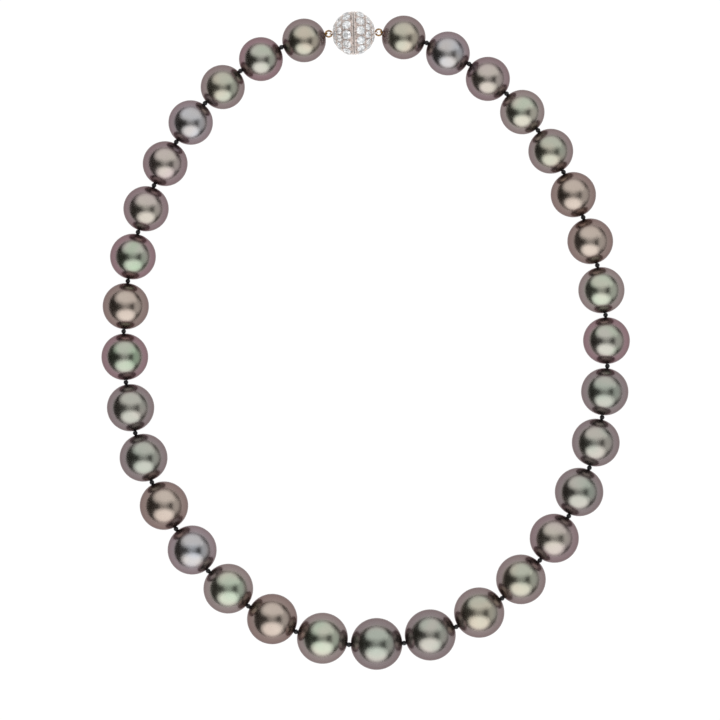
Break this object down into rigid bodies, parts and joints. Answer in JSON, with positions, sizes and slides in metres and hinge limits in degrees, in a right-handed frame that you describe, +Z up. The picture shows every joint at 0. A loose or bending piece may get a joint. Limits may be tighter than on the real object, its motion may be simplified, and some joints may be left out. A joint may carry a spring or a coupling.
{
  "type": "pearl necklace",
  "caption": "Graduated strand of round dark nacre pearls knotted on silk, closed by a two-part pave ball clasp on jump rings, laid out as a closed loop.",
  "frame": {"origin": "on the surface it lies on, under the middle of the loop's outline", "axes": "+Y towards the clasp, +X to the right side of the loop, +Z up from the surface"},
  "size_m": [0.1326, 0.1651, 0.013],
  "materials": {
    "nacre_olive": "high-lustre nacre, olive-gold body with a mauve rim",
    "nacre_peacock": "high-lustre nacre, peacock green body with a mauve rim",
    "nacre_pistachio": "high-lustre nacre, pale pistachio body with a rose rim",
    "nacre_silver": "high-lustre nacre, silver-blue body with a lilac rim",
    "nacre_rose": "high-lustre nacre, rose-taupe body with an aubergine rim",
    "nacre_bronze": "high-lustre nacre, golden-taupe body with a copper rim",
    "nacre_steel": "high-lustre nacre, neutral steel-grey body with a mauve rim",
    "white_gold": "polished white gold with beaded grains and a milgrain edge",
    "rose_gold": "polished pale rose gold wire",
    "gold_bullion": "fine coiled gold wire over silk",
    "magnet": "nickel-plated disc magnet",
    "diamond": "clear round brilliant-cut stone"
  },
  "bodies": {
    "pearl_17": {"pearl_17": "nacre_steel"},
    "pearl_16": {"pearl_16": "nacre_pistachio"},
    "pearl_15": {"pearl_15": "nacre_bronze"},
    "pearl_14": {"pearl_14": "nacre_pistachio"},
    "pearl_13": {"pearl_13": "nacre_silver"},
    "pearl_12": {"pearl_12": "nacre_bronze"},
    "pearl_11": {"pearl_11": "nacre_steel"},
    "pearl_10": {"pearl_10": "nacre_steel"},
    "pearl_09": {"pearl_09": "nacre_peacock"},
    "pearl_08": {"pearl_08": "nacre_bronze"},
    "pearl_07": {"pearl_07": "nacre_peacock"},
    "pearl_06": {"pearl_06": "nacre_rose"},
    "pearl_05": {"pearl_05": "nacre_rose"},
    "pearl_04": {"pearl_04": "nacre_silver"},
    "pearl_03": {"pearl_03": "nacre_olive"},
    "pearl_02": {"pearl_02": "nacre_peacock"},
    "pearl_01": {"pearl_01": "nacre_olive", "bullion_left": "gold_bullion"},
    "jump_ring_left": {"jump_ring_left": "rose_gold"},
    "clasp_half_left": {"clasp_shell_left": "white_gold", "clasp_magnet_left": "magnet", "clasp_eye_left": "white_gold", "diamonds_large_left": "diamond", "diamonds_medium_left": "diamond", "diamonds_small_left": "diamond"},
    "pearl_18": {"pearl_18": "nacre_steel"},
    "pearl_19": {"pearl_19": "nacre_olive"},
    "pearl_20": {"pearl_20": "nacre_olive"},
    "pearl_21": {"pearl_21": "nacre_rose"},
    "pearl_22": {"pearl_22": "nacre_steel"},
    "pearl_23": {"pearl_23": "nacre_steel"},
    "pearl_24": {"pearl_24": "nacre_steel"},
    "pearl_25": {"pearl_25": "nacre_peacock"},
    "pearl_26": {"pearl_26": "nacre_pistachio"},
    "pearl_27": {"pearl_27": "nacre_bronze"},
    "pearl_28": {"pearl_28": "nacre_bronze"},
    "pearl_29": {"pearl_29": "nacre_olive"},
    "pearl_30": {"pearl_30": "nacre_pistachio"},
    "pearl_31": {"pearl_31": "nacre_rose"},
    "pearl_32": {"pearl_32": "nacre_silver"},
    "pearl_33": {"pearl_33": "nacre_olive", "bullion_right": "gold_bullion"},
    "jump_ring_right": {"jump_ring_right": "rose_gold"},
    "clasp_half_right": {"clasp_shell_right": "white_gold", "clasp_magnet_right": "magnet", "clasp_eye_right": "white_gold", "diamonds_large_right": "diamond", "diamonds_medium_right": "diamond", "diamonds_small_right": "diamond"}
  },
  "joints": [
    {"name": "knot_16_17", "type": "hinge", "parent": "pearl_17", "child": "pearl_16", "pos_m": [-0.00418, -0.07636, 0.00646], "axis": [0, 0, 1], "range_deg": [0, 20]},
    {"name": "knot_15_16", "type": "hinge", "parent": "pearl_16", "child": "pearl_15", "pos_m": [-0.01748, -0.07311, 0.00637], "axis": [0, 0, 1], "range_deg": [0, 20]},
    {"name": "knot_14_15", "type": "hinge", "parent": "pearl_15", "child": "pearl_14", "pos_m": [-0.02941, -0.06671, 0.00629], "axis": [0, 0, 1], "range_deg": [0, 20]},
    {"name": "knot_13_14", "type": "hinge", "parent": "pearl_14", "child": "pearl_13", "pos_m": [-0.03949, -0.05788, 0.00621], "axis": [0, 0, 1], "range_deg": [0, 20]},
    {"name": "knot_12_13", "type": "hinge", "parent": "pearl_13", "child": "pearl_12", "pos_m": [-0.04756, -0.04732, 0.00613], "axis": [0, 0, 1], "range_deg": [0, 20]},
    {"name": "knot_11_12", "type": "hinge", "parent": "pearl_12", "child": "pearl_11", "pos_m": [-0.05363, -0.03564, 0.00605], "axis": [0, 0, 1], "range_deg": [0, 20]},
    {"name": "knot_10_11", "type": "hinge", "parent": "pearl_11", "child": "pearl_10", "pos_m": [-0.0578, -0.02328, 0.00598], "axis": [0, 0, 1], "range_deg": [0, 20]},
    {"name": "knot_09_10", "type": "hinge", "parent": "pearl_10", "child": "pearl_09", "pos_m": [-0.06014, -0.01056, 0.00591], "axis": [0, 0, 1], "range_deg": [0, 20]},
    {"name": "knot_08_09", "type": "hinge", "parent": "pearl_09", "child": "pearl_08", "pos_m": [-0.06071, 0.00223, 0.00585], "axis": [0, 0, 1], "range_deg": [0, 20]},
    {"name": "knot_07_08", "type": "hinge", "parent": "pearl_08", "child": "pearl_07", "pos_m": [-0.05966, 0.01486, 0.00578], "axis": [0, 0, 1], "range_deg": [0, 20]},
    {"name": "knot_06_07", "type": "hinge", "parent": "pearl_07", "child": "pearl_06", "pos_m": [-0.05711, 0.02713, 0.00572], "axis": [0, 0, 1], "range_deg": [0, 20]},
    {"name": "knot_05_06", "type": "hinge", "parent": "pearl_06", "child": "pearl_05", "pos_m": [-0.0531, 0.03886, 0.00567], "axis": [0, 0, 1], "range_deg": [0, 20]},
    {"name": "knot_04_05", "type": "hinge", "parent": "pearl_05", "child": "pearl_04", "pos_m": [-0.04753, 0.04977, 0.00562], "axis": [0, 0, 1], "range_deg": [0, 20]},
    {"name": "knot_03_04", "type": "hinge", "parent": "pearl_04", "child": "pearl_03", "pos_m": [-0.0403, 0.0595, 0.00558], "axis": [0, 0, 1], "range_deg": [0, 20]},
    {"name": "knot_02_03", "type": "hinge", "parent": "pearl_03", "child": "pearl_02", "pos_m": [-0.03144, 0.06759, 0.00554], "axis": [0, 0, 1], "range_deg": [0, 20]},
    {"name": "knot_01_02", "type": "hinge", "parent": "pearl_02", "child": "pearl_01", "pos_m": [-0.02112, 0.07354, 0.00551], "axis": [0, 0, 1], "range_deg": [0, 20]},
    {"name": "ring_swivel_left", "type": "hinge", "parent": "pearl_01", "child": "jump_ring_left", "pos_m": [-0.00927, 0.07691, 0.00555], "axis": [-0.9996, -0.0295, 0], "range_deg": [-25, 25]},
    {"name": "clasp_swivel_left", "type": "hinge", "parent": "jump_ring_left", "child": "clasp_half_left", "pos_m": [-0.00849, 0.07693, 0.00555], "axis": [-0.9996, -0.0295, 0], "range_deg": [-25, 25]},
    {"name": "knot_17_18", "type": "hinge", "parent": "pearl_17", "child": "pearl_18", "pos_m": [0.00966, -0.07594, 0.00646], "axis": [0, 0, -1], "range_deg": [0, 20]},
    {"name": "knot_18_19", "type": "hinge", "parent": "pearl_18", "child": "pearl_19", "pos_m": [0.02273, -0.07187, 0.00637], "axis": [0, 0, -1], "range_deg": [0, 20]},
    {"name": "knot_19_20", "type": "hinge", "parent": "pearl_19", "child": "pearl_20", "pos_m": [0.03422, -0.06472, 0.00629], "axis": [0, 0, -1], "range_deg": [0, 20]},
    {"name": "knot_20_21", "type": "hinge", "parent": "pearl_20", "child": "pearl_21", "pos_m": [0.04368, -0.05521, 0.00621], "axis": [0, 0, -1], "range_deg": [0, 20]},
    {"name": "knot_21_22", "type": "hinge", "parent": "pearl_21", "child": "pearl_22", "pos_m": [0.05096, -0.0441, 0.00613], "axis": [0, 0, -1], "range_deg": [0, 20]},
    {"name": "knot_22_23", "type": "hinge", "parent": "pearl_22", "child": "pearl_23", "pos_m": [0.05613, -0.032, 0.00605], "axis": [0, 0, -1], "range_deg": [0, 20]},
    {"name": "knot_23_24", "type": "hinge", "parent": "pearl_23", "child": "pearl_24", "pos_m": [0.05932, -0.01934, 0.00598], "axis": [0, 0, -1], "range_deg": [0, 20]},
    {"name": "knot_24_25", "type": "hinge", "parent": "pearl_24", "child": "pearl_25", "pos_m": [0.06065, -0.00648, 0.00591], "axis": [0, 0, -1], "range_deg": [0, 20]},
    {"name": "knot_25_26", "type": "hinge", "parent": "pearl_25", "child": "pearl_26", "pos_m": [0.0602, 0.00632, 0.00585], "axis": [0, 0, -1], "range_deg": [0, 20]},
    {"name": "knot_26_27", "type": "hinge", "parent": "pearl_26", "child": "pearl_27", "pos_m": [0.05813, 0.01882, 0.00578], "axis": [0, 0, -1], "range_deg": [0, 20]},
    {"name": "knot_27_28", "type": "hinge", "parent": "pearl_27", "child": "pearl_28", "pos_m": [0.05459, 0.03084, 0.00572], "axis": [0, 0, -1], "range_deg": [0, 20]},
    {"name": "knot_28_29", "type": "hinge", "parent": "pearl_28", "child": "pearl_29", "pos_m": [0.04966, 0.04221, 0.00567], "axis": [0, 0, -1], "range_deg": [0, 20]},
    {"name": "knot_29_30", "type": "hinge", "parent": "pearl_29", "child": "pearl_30", "pos_m": [0.04327, 0.05267, 0.00562], "axis": [0, 0, -1], "range_deg": [0, 20]},
    {"name": "knot_30_31", "type": "hinge", "parent": "pearl_30", "child": "pearl_31", "pos_m": [0.03537, 0.06186, 0.00558], "axis": [0, 0, -1], "range_deg": [0, 20]},
    {"name": "knot_31_32", "type": "hinge", "parent": "pearl_31", "child": "pearl_32", "pos_m": [0.02598, 0.06933, 0.00554], "axis": [0, 0, -1], "range_deg": [0, 20]},
    {"name": "knot_32_33", "type": "hinge", "parent": "pearl_32", "child": "pearl_33", "pos_m": [0.01532, 0.07463, 0.00551], "axis": [0, 0, -1], "range_deg": [0, 20]},
    {"name": "ring_swivel_right", "type": "hinge", "parent": "pearl_33", "child": "jump_ring_right", "pos_m": [0.00328, 0.07728, 0.00555], "axis": [0.9996, 0.0295, 0], "range_deg": [-25, 25]},
    {"name": "clasp_swivel_right", "type": "hinge", "parent": "jump_ring_right", "child": "clasp_half_right", "pos_m": [0.0025, 0.07726, 0.00555], "axis": [0.9996, 0.0295, 0], "range_deg": [-25, 25]}
  ]
}
